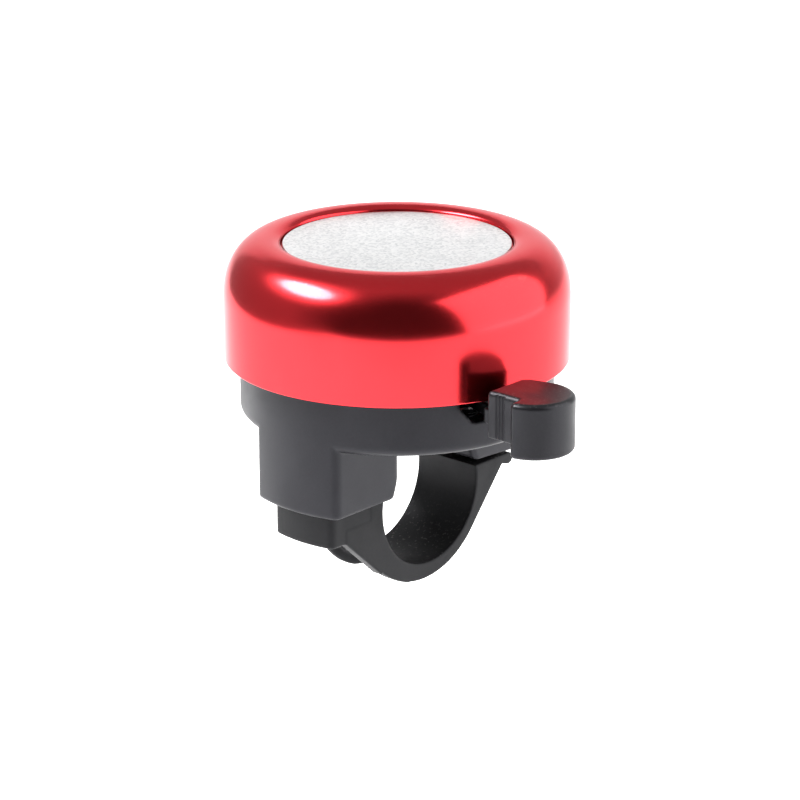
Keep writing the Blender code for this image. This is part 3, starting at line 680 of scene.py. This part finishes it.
strapShape = {
    "half": 6.4,
    "outerCentre": (-1.3, 1.2),
    "outerRadius": 15.34,
    "bend": -105.0,
    "padRadius": 23.2,
    "padLeft": -6.1,
    "padTop": 2.6,
    "padLow": -2.8,
    "padCorner": 1.4,
    "cheekInner": 3.9,
    "hollow": (-5.4, 3.9),   # cored out between the two ribs
    "hollowFloor": 12.85,
    "hollowEnd": -97.0,
    "edge": 0.3,
    "knuckle": 1.0,
    "wedge": (18.1, 0.45),   # where the knuckle runs into the loop's outside
    "notch": (2.5, 1.7),     # half width and reach round the base's hinge lug
    "headPocket": (3.7, -1.3),
    "screwHole": 1.9,
    "pinHole": 0.65,
    "pinEnd": 5.4,
}

strapLook = {
    "colour": (0.002, 0.002, 0.0025),
    "second": (0.004, 0.004, 0.0045),
    "rubbed": (0.02, 0.02, 0.021),
    "tonesFrom": 0.3,
    "tonesTo": 0.7,
    "bump": 0.45,
    "bumpDepth": 0.03,
    "shader": {"Metallic": 0.0, "IOR": 1.33, "Specular Tint": (0.95, 0.95, 1.0, 1.0)},
    "grain": {"Grain Scale": 1700.0, "Swell Scale": 200.0, "Swell": 0.25},
    "handling": {
        "Clean": 0.5, "Handled": 0.62, "Smudge Scale": 60.0, "Scratch Scale": 300.0, "Scratches": 0.3,
    },
    "edges": {"Amount": 0.5, "Breakup Scale": 700.0},
    "dust": {"Amount": 0.15, "Speck Scale": 2200.0},
}


def strapOutline(shape):
    bore = baseShape["bore"]
    centre = shape["outerCentre"]
    padAngle = 180.0 - math.degrees(math.asin(shape["padTop"] / bore))
    hingeAngle = math.degrees(math.asin(2.0 / bore))
    loop = arcPoints((0.0, 0.0), bore, padAngle, hingeAngle + 360.0)
    knuckle = arcPoints(hingeAt, shape["knuckle"], 90.0, -100.0, 8.0)
    outside = arcPoints(centre, shape["outerRadius"], -42.5, shape["bend"])
    bend = outside[-1]
    bendRadius = math.hypot(*bend)
    root = -180.0 - math.degrees(math.asin(shape["padLow"] / bendRadius))
    bendAngle = math.degrees(math.atan2(bend[1], bend[0]))
    roundBar = arcPoints((0.0, 0.0), bendRadius, bendAngle, root)[1:]
    top = (-math.sqrt(bendRadius**2 - shape["padTop"] ** 2), shape["padTop"])
    return loop + knuckle + [shape["wedge"]] + outside + roundBar + [top]


def padOutline(shape):
    inside = shape["padRadius"] - shape["padCorner"]
    ends = [shape["padLeft"] + shape["padCorner"], shape["half"] - shape["padCorner"]]
    spots = [(x, bellY - math.sqrt(inside**2 - x**2)) for x in ends]
    angles = [math.degrees(math.atan2(spot[1] - bellY, spot[0])) for spot in spots]
    face = arcPoints(spots[0], shape["padCorner"], -180.0, angles[0], 8.0)
    face += arcPoints((0.0, bellY), shape["padRadius"], angles[0], angles[1])[1:-1]
    face += arcPoints(spots[1], shape["padCorner"], angles[1], 0.0, 8.0)
    return face + [(shape["half"], -13.2), (shape["padLeft"], -13.2)]


def cheekOutline(shape):
    centre = shape["outerCentre"]
    start = math.degrees(math.atan2(-10.4 - centre[1], -11.8 - centre[0]))
    outside = arcPoints(centre, shape["outerRadius"], start, shape["bend"])
    inside = arcPoints((0.0, 0.0), baseShape["bore"] + 1.3, -100.0, -178.0)
    return [(-20.15, shape["padLow"] + 0.01), (-11.8, -10.4)] + outside + inside + [(-20.15, -0.5)]


strapPlan = strapOutline(strapShape)
padPlan = padOutline(strapShape)
cheekPlan = cheekOutline(strapShape)


def strapField(x, y, z):
    shape = strapShape
    loop = outlineField(y, z, strapPlan)
    pad = both(outlineField(x, y, padPlan), between(z, shape["padLow"], shape["padTop"], 0.0), shape["edge"])
    cheek = both(outlineField(y, z, cheekPlan), shape["cheekInner"] - x, 0.7)
    body = either(either(loop, pad, 0.3), cheek, 0.3)
    body = both(body, np.abs(x) - shape["half"], shape["edge"])
    left, right = shape["hollow"]
    end = math.radians(shape["hollowEnd"])
    hollow = both(between(x, left, right, 0.3), shape["hollowFloor"] - np.hypot(y, z), 0.4)
    hollow = both(hollow, z - shape["padLow"] + 0.2, 0.3)
    hollow = both(hollow, y * math.sin(-end) + z * math.cos(end), 0.3)
    body = cut(body, hollow, 0.2)
    half, reach = shape["notch"]
    notch = both(np.abs(x) - half, hingeAt[0] - reach - y, 0.2)
    body = cut(body, np.maximum(notch, -5.0 - z), 0.15)
    wide, top = shape["headPocket"]
    pocket = np.maximum(np.hypot(x, y - screwY) - wide, z - top)
    body = cut(body, pocket, 0.2)
    body = cut(body, np.hypot(x, y - screwY) - shape["screwHole"], 0.15)
    pinHole = np.maximum(np.hypot(y - hingeAt[0], z - hingeAt[1]) - shape["pinHole"], x - shape["pinEnd"])
    return cut(body, pinHole, 0.1)


strapPlastic = material("strapPlastic", strapLook)
bellStrap = moulded("bell_strap", strapField, strapLow, strapHigh, 0.22)
dress(bellStrap, "strap", "strap_plastic", strapPlastic, "clamp_strap")


# thumb lever: pad, ribbed neck, arm and toothed sector

leverShape = {
    "padCentre": (35.3, -8.6),
    "padRadius": 6.3,
    "padLow": rim - 5.5,
    "neckX": 29.3,
    "neckEnd": 35.4,
    "neckFace": -12.5,
    "neckLow": rim - 4.2,
    "back": -3.4,
    "grooves": (31.2, 31.82, 32.44),
    "grooveRadius": 0.22,
    "topRound": 0.8,
    "teeth": 36,
    "module": 0.5,
    "plate": (rim - 3.0, rim - 0.9),
    "armHalf": 2.9,
    "armY": bellY - 6.65,    # where the arm meets the neck
    "hubRadius": 4.2,
    "bore": 1.55,
}

leverLook = {
    "colour": (0.004, 0.004, 0.005),
    "second": (0.007, 0.007, 0.008),
    "rubbed": (0.05, 0.05, 0.05),
    "tonesFrom": 0.3,
    "tonesTo": 0.7,
    "bump": 0.2,
    "bumpDepth": 0.02,
    "shader": {"Metallic": 0.0, "IOR": 1.4, "Specular Tint": (0.92, 0.91, 1.0, 1.0)},
    "grain": {"Grain Scale": 2400.0, "Swell Scale": 180.0, "Swell": 0.3},
    "handling": {
        "Clean": 0.34, "Handled": 0.46, "Smudge Scale": 110.0, "Scratch Scale": 350.0, "Scratches": 0.4,
    },
    "edges": {"Amount": 0.6, "Breakup Scale": 600.0},
    "dust": {"Amount": 0.12, "Speck Scale": 2400.0},
}


def toothSides(shape):
    # (radius, half angle) down one flank of an involute tooth
    pressure = math.radians(20.0)
    pitch = shape["module"] * shape["teeth"] / 2
    root = pitch - 1.15 * shape["module"]
    tip = pitch + 0.8 * shape["module"]
    sides = []
    for radius in (root, max(root + 0.05, pitch * math.cos(pressure)), pitch, (pitch + tip) / 2, tip):
        roll = math.acos(min(1.0, pitch * math.cos(pressure) / radius))
        curve = math.tan(pressure) - pressure - (math.tan(roll) - roll)
        sides.append((radius, (math.pi * shape["module"] / 2 - 0.14) / (2 * pitch) + curve))
    return sides


def sectorOutline(shape):
    facing = math.atan2(idlerAt[1] - leverAt[1], idlerAt[0] - leverAt[0])
    sides = toothSides(shape)
    outline = [tuple(leverAt)]
    for index in range(-5, 2):
        middle = facing + (index + 0.5) * math.tau / shape["teeth"]
        turns = [(r, middle - h) for r, h in sides] + [(r, middle + h) for r, h in reversed(sides)]
        outline += [(leverAt[0] + r * math.cos(a), leverAt[1] + r * math.sin(a)) for r, a in turns]
    return outline


def thumbOutline(shape):
    end = shape["neckEnd"]
    face = shape["neckFace"]
    outline = [(shape["neckX"] + 0.3, face), (end - 0.2, face), (end, face - 0.3), (end, face - 1.4)]
    outline += arcPoints((end + 0.9, face - 1.4), 0.9, 180.0, 270.0, 15.0)[1:-1]
    outline += arcPoints(shape["padCentre"], shape["padRadius"], -81.8, 95.0, 3.0)
    back = shape["back"]
    outline += [(shape["neckX"] + 1.2, back), (shape["neckX"], back - 1.2), (shape["neckX"], face + 0.3)]
    return [(x, y + bellY) for x, y in outline]


sectorPlan = sectorOutline(leverShape)
thumbPlan = thumbOutline(leverShape)


def leverField(x, y, z):
    shape = leverShape
    low, high = shape["plate"]
    top, under = leverHigh[2], shape["padLow"]
    plan = outlineField(x, y, thumbPlan)
    thumb = both(plan, z - top, shape["topRound"])
    thumb = both(thumb, under - z, 0.6)
    step = both(x - shape["neckEnd"] + 0.2, z - shape["neckLow"], 0.2)
    thumb = cut(thumb, step, 0.3)
    ends = np.array([[leverAt[0], leverAt[1] - 1.6], [shape["neckX"] + 1.6, shape["armY"]]])
    heading = (ends[1] - ends[0]) / np.linalg.norm(ends[1] - ends[0])
    along = (x - ends[0][0]) * heading[0] + (y - ends[0][1]) * heading[1]
    across = (y - ends[0][1]) * heading[0] - (x - ends[0][0]) * heading[1]
    reach = between(along, 0.0, np.linalg.norm(ends[1] - ends[0]), 0.0)
    arm = both(np.abs(across) - shape["armHalf"], reach, 0.3)
    arm = both(arm, between(z, low, high, 0.0), 0.25)
    drop = (shape["neckLow"] - low) * np.clip((x - baseHigh[0] - 1.0) / 4.6, 0.0, 1.0)
    web = between(x, baseHigh[0] + 1.0, shape["neckX"] + 1.0, 0.0)
    web = both(web, np.abs(y - shape["armY"]) - 3.05, 0.3)
    web = both(web, between(z, low + drop, high, 0.0), 0.1)
    hub = both(np.hypot(x - leverAt[0], y - leverAt[1]) - shape["hubRadius"], between(z, low, high, 0.0), 0.2)
    sector = both(outlineField(x, y, sectorPlan), between(z, low, high, 0.0), 0.12)
    body = either(either(thumb, np.minimum(arm, web), 0.4), np.minimum(hub, sector), 0.1)
    lugAt = (leverAt[0] + 2.6, leverAt[1] - 4.75)
    lug = np.maximum(np.hypot(x - lugAt[0], y - lugAt[1]) - 0.7, between(z, low - 1.4, low + 1.0, 0.0))
    body = np.minimum(body, lug)
    for groove in shape["grooves"]:
        line = np.hypot(x - groove, y - shape["neckFace"] - bellY) - shape["grooveRadius"]
        body = cut(body, line, 0.08)
    return cut(body, np.hypot(x - leverAt[0], y - leverAt[1]) - shape["bore"], 0.1)


leverPlastic = material("leverPlastic", leverLook)
bellLever = moulded("bell_lever", leverField, leverLow, leverHigh, 0.16)
dress(bellLever, "lever", "black_plastic", leverPlastic, "thumb_lever")


# fixings and movement: the CAD pieces, with small bevels and their own finishes

steelLook = {
    "colour": (0.55, 0.55, 0.53),
    "second": (0.7, 0.69, 0.66),
    "rubbed": (0.85, 0.85, 0.84),
    "tonesFrom": 0.25,
    "tonesTo": 0.75,
    "bump": 0.3,
    "bumpDepth": 0.01,
    "shader": {"Metallic": 1.0},
    "grain": {"Grain Scale": 3500.0, "Swell Scale": 260.0, "Swell": 0.4},
    "handling": {
        "Clean": 0.24, "Handled": 0.4, "Smudge Scale": 160.0, "Scratch Scale": 900.0, "Scratches": 0.5,
    },
    "edges": {"Amount": 0.6, "Breakup Scale": 900.0},
    "dust": {"Amount": 0.1, "Speck Scale": 2600.0},
}

springLook = {
    **steelLook,
    "colour": (0.32, 0.32, 0.33),
    "second": (0.45, 0.45, 0.46),
    "rubbed": (0.7, 0.7, 0.7),
    "handling": {
        "Clean": 0.18, "Handled": 0.3, "Smudge Scale": 200.0, "Scratch Scale": 1200.0, "Scratches": 0.4,
    },
}

acetalLook = {
    "colour": (0.72, 0.71, 0.67),
    "second": (0.8, 0.79, 0.75),
    "rubbed": (0.86, 0.85, 0.82),
    "tonesFrom": 0.3,
    "tonesTo": 0.7,
    "bump": 0.15,
    "bumpDepth": 0.01,
    "shader": {"Metallic": 0.0, "Subsurface Weight": 0.1, "Subsurface Scale": 0.5 * mm},
    "grain": {"Grain Scale": 2800.0, "Swell Scale": 200.0, "Swell": 0.3},
    "handling": {
        "Clean": 0.32, "Handled": 0.44, "Smudge Scale": 150.0, "Scratch Scale": 700.0, "Scratches": 0.3,
    },
    "edges": {"Amount": 0.3, "Breakup Scale": 800.0},
    "dust": {"Amount": 0.1, "Speck Scale": 2600.0},
}

finishes = {
    "zinc_steel": material("zincSteel", steelLook),
    "spring_steel": material("springSteel", springLook),
    "white_acetal": material("whiteAcetal", acetalLook),
}
finishedNodes = {
    "zinc_steel": [
        "spindle", "dome_spacer", "dome_washer", "dome_nut", "clamp_nut", "lever_pin", "idler_pin",
        "strap_hinge_pin", "clapper_arm", "clapper_pin_a", "clapper_pin_b", "clapper_a", "clapper_b",
    ],
    "spring_steel": ["rotor_clip", "lever_clip", "idler_clip", "lever_spring"],
    "white_acetal": ["idler_gear", "rotor_pinion"],
}
for slotName, names in finishedNodes.items():
    for name in names:
        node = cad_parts[name]
        for place in node.material_slots:
            place.link = "OBJECT"
            place.material = finishes[slotName]
        if name != "lever_spring":
            bevel = node.modifiers.new("edgeBevel", "BEVEL")
            bevel.width = 0.08 * mm
            bevel.segments = 2
            bevel.limit_method = "ANGLE"
            bevel.angle_limit = math.radians(40.0)
            bevel.harden_normals = True
print("fixings dressed")


# clamp screw: pan head with a driver cross and a rolled thread

screwShape = {
    "shaft": 1.6,
    "pitch": 0.7,
    "threadDepth": 0.32,
    "threadFrom": 2.4,      # above the head's underside
    "crossLong": 1.9,
    "crossThin": 0.42,
    "crossDeep": 1.3,
}


def screwField(x, y, z):
    shape = screwShape
    bottom, tip = screwLow[2], screwHigh[2]
    seat = bottom + 2.2
    r = np.hypot(x, y - screwY)
    head = both(both(r - screwHigh[0], z - seat, 0.15), bottom - z, 0.75)
    turn = np.arctan2(y - screwY, x) / math.tau
    phase = (z / shape["pitch"] - turn) % 1.0
    ridge = np.abs(phase - 0.5) * 2.0 * shape["threadDepth"]
    started = np.clip((z - seat - shape["threadFrom"]) * 1.5, 0.0, 1.0)
    taper = np.clip(z - tip + 1.0, 0.0, 1.0) * 0.4
    shaft = np.maximum(r - shape["shaft"] + ridge * started + taper, between(z, seat - 0.5, tip, 0.0)) * 0.8
    body = either(head, shaft, 0.2)
    long, thin = shape["crossLong"], shape["crossThin"]
    across = np.minimum(
        both(np.abs(x) - long, np.abs(y - screwY) - thin, 0.1),
        both(np.abs(x) - thin, np.abs(y - screwY) - long, 0.1),
    )
    narrowing = (z - bottom) * 0.25
    return cut(body, np.maximum(across + narrowing, z - bottom - shape["crossDeep"]), 0.08)


bellScrew = moulded("bell_screw", screwField, screwLow, screwHigh, 0.1)
dress(bellScrew, "screw", "zinc_steel", finishes["zinc_steel"], "clamp_screw")


studio = {
    "floorDrop": 60.0,       # below the handlebar's axis, clear of the opened strap
    "floorFront": 430.0,
    "floorLeft": 400.0,      # seen from the camera
    "floorRight": 1100.0,
    "floorBack": 720.0,
    "wallHeight": 560.0,
    "floorGlow": 0.85,
    "wallGlow": 0.12,        # the wall behind is dimmer than the floor
    "boxStrength": 27.0,
    "boxHalo": 0.9,
    "cardStrength": 2.35,
    "ambient": 0.46,
    "shade": 0.08,
    "paperRadius": 260.0,
    "boxAngle": -82.0,       # from the camera's side, positive to its right
    "boxSize": (430.0, 235.0),
    "glowRings": 5,
    "glowFade": 0.62,
    "cardAngle": 77.0,
    "cardSize": 760.0,
}

cameraSpot = Vector((316.1, -357.0, 175.7)) * mm
cameraAim = Vector((1.86, -2.41, 15.77)) * mm
towardCamera = math.atan2(cameraSpot.y, cameraSpot.x)


def around(angle, distance, height):
    # a spot at an angle from the camera's side, positive to the camera's right
    turn = towardCamera + math.radians(angle)
    return Vector((distance * math.cos(turn), distance * math.sin(turn), height)) * mm


def sweepMesh():
    # floor that runs back and curves up into a wall
    radius = studio["paperRadius"]
    low = -studio["floorDrop"]
    run = [(-studio["floorFront"], low), (studio["floorBack"] - radius, low)]
    for step in range(1, 17):
        turn = math.pi / 2 * step / 16
        back = studio["floorBack"] - radius * (1 - math.sin(turn))
        run.append((back, low + radius * (1 - math.cos(turn))))
    run.append((studio["floorBack"], low + studio["wallHeight"]))
    back = Vector((-math.cos(towardCamera), -math.sin(towardCamera)))
    side = Vector((back.y, -back.x))
    points = []
    for reach, height in run:
        for across in (-studio["floorLeft"], studio["floorRight"]):
            spot = back * reach + side * across
            points.append((spot.x * mm, spot.y * mm, height * mm))
    faces = [(2 * i, 2 * i + 1, 2 * i + 3, 2 * i + 2) for i in range(len(run) - 1)]
    mesh = bpy.data.meshes.new("studio_sweep")
    mesh.from_pydata(points, [], faces)
    return mesh


def sweepMaterial():
    made = bpy.data.materials.new("palePaper")
    made.use_nodes = True
    tree = made.node_tree
    shader = tree.nodes["Principled BSDF"]
    shader.inputs["Roughness"].default_value = 0.8
    shader.inputs["Specular IOR Level"].default_value = 0.1
    shader.inputs["Emission Strength"].default_value = 1.0
    place = addNode(tree, "TexCoord")
    axes = addNode(tree, "SeparateXYZ")
    glow = addNode(tree, "MapRange", {"From Min": -0.055, "From Max": 0.02}, interpolation_type="SMOOTHSTEP")
    glow.inputs["To Min"].default_value = studio["floorGlow"]
    glow.inputs["To Max"].default_value = studio["wallGlow"]
    paper = useGroup(tree, surfaceGrain, {"Grain Scale": 900.0, "Swell Scale": 4.0, "Swell": 0.5})
    tones = addNode(tree, "ValToRGB")
    tones.color_ramp.elements[0].color = (0.8, 0.8, 0.8, 1.0)
    tones.color_ramp.elements[1].color = (0.84, 0.84, 0.84, 1.0)
    join(
        tree,
        (place.outputs["Object"], axes.inputs["Vector"]),
        (axes.outputs["Z"], glow.inputs["Value"]),
        (glow.outputs["Result"], shader.inputs["Emission Color"]),
        (paper.outputs["Height"], tones.inputs["Fac"]),
        (tones.outputs["Color"], shader.inputs["Base Color"]),
    )
    return made


def addLight(name, spot, aim, wide, tall, radiance, shape):
    light = bpy.data.lights.new(name, "AREA")
    light.shape = shape
    light.size = wide * mm
    light.size_y = tall * mm
    area = wide * tall * mm * mm * (math.pi / 4 if shape == "ELLIPSE" else 1.0)
    light.energy = radiance * math.pi * area
    lamp = bpy.data.objects.new(name, light)
    lamp.location = spot
    lamp.rotation_euler = (aim - spot).to_track_quat("-Z", "Y").to_euler()
    lamp.visible_camera = False
    bpy.context.collection.objects.link(lamp)
    return lamp


def buildWorld():
    world = bpy.data.worlds.new("studioRoom")
    bpy.context.scene.world = world
    world.use_nodes = True
    tree = world.node_tree
    background = tree.nodes["Background"]
    place = addNode(tree, "TexCoord")
    facing = addNode(tree, "VectorMath", operation="DOT_PRODUCT")
    facing.inputs[1].default_value = (math.cos(towardCamera), math.sin(towardCamera), 0.12)
    dark = addNode(tree, "MapRange", interpolation_type="SMOOTHSTEP")
    for socket, value in (("From Min", 0.25), ("From Max", 0.85)):
        dark.inputs[socket].default_value = value
    dark.inputs["To Min"].default_value = studio["ambient"]
    dark.inputs["To Max"].default_value = studio["shade"]
    path = addNode(tree, "LightPath")
    seen = addNode(tree, "Mix")
    seen.inputs[3].default_value = 1.0
    join(
        tree,
        (place.outputs["Generated"], facing.inputs[0]),
        (facing.outputs["Value"], dark.inputs["Value"]),
        (path.outputs["Is Camera Ray"], seen.inputs[0]),
        (dark.outputs["Result"], seen.inputs[2]),
        (seen.outputs[0], background.inputs["Strength"]),
    )
    background.inputs["Color"].default_value = (1.0, 1.0, 1.0, 1.0)


sweep = bpy.data.objects.new("studio_sweep", sweepMesh())
sweep.data.materials.append(sweepMaterial())
bpy.context.collection.objects.link(sweep)
target = Vector((0.0, 0.0, 35.0)) * mm
box = studio["boxAngle"]
spot = around(box, 430.0, 470.0)
addLight("left_softbox", spot, target, *studio["boxSize"], studio["boxStrength"], "ELLIPSE")
for step in range(studio["glowRings"]):
    # the box's diffuser glows less and less toward its rim
    wide = 440.0 + 130.0 * step
    spot = around(box, 440.0 + 15.0 * step, 480.0 + 16.0 * step)
    glow = studio["boxHalo"] * studio["glowFade"] ** step
    addLight(f"left_glow_{step}", spot, target, wide, wide * 0.72, glow, "ELLIPSE")
spot = around(studio["cardAngle"], 500.0, 215.0)
size = studio["cardSize"]
addLight("right_card", spot, target, size, size, studio["cardStrength"], "RECTANGLE")
buildWorld()

camera = bpy.data.objects.new("camera", bpy.data.cameras.new("camera"))
camera.data.lens = 140.4
camera.data.sensor_width = 36.0
camera.data.clip_start = 0.01
camera.data.clip_end = 20.0
camera.location = cameraSpot
camera.rotation_euler = (cameraAim - cameraSpot).to_track_quat("-Z", "Y").to_euler()
bpy.context.collection.objects.link(camera)
bpy.context.scene.camera = camera
bpy.context.scene.view_settings.view_transform = "Standard"
print("studio ready")
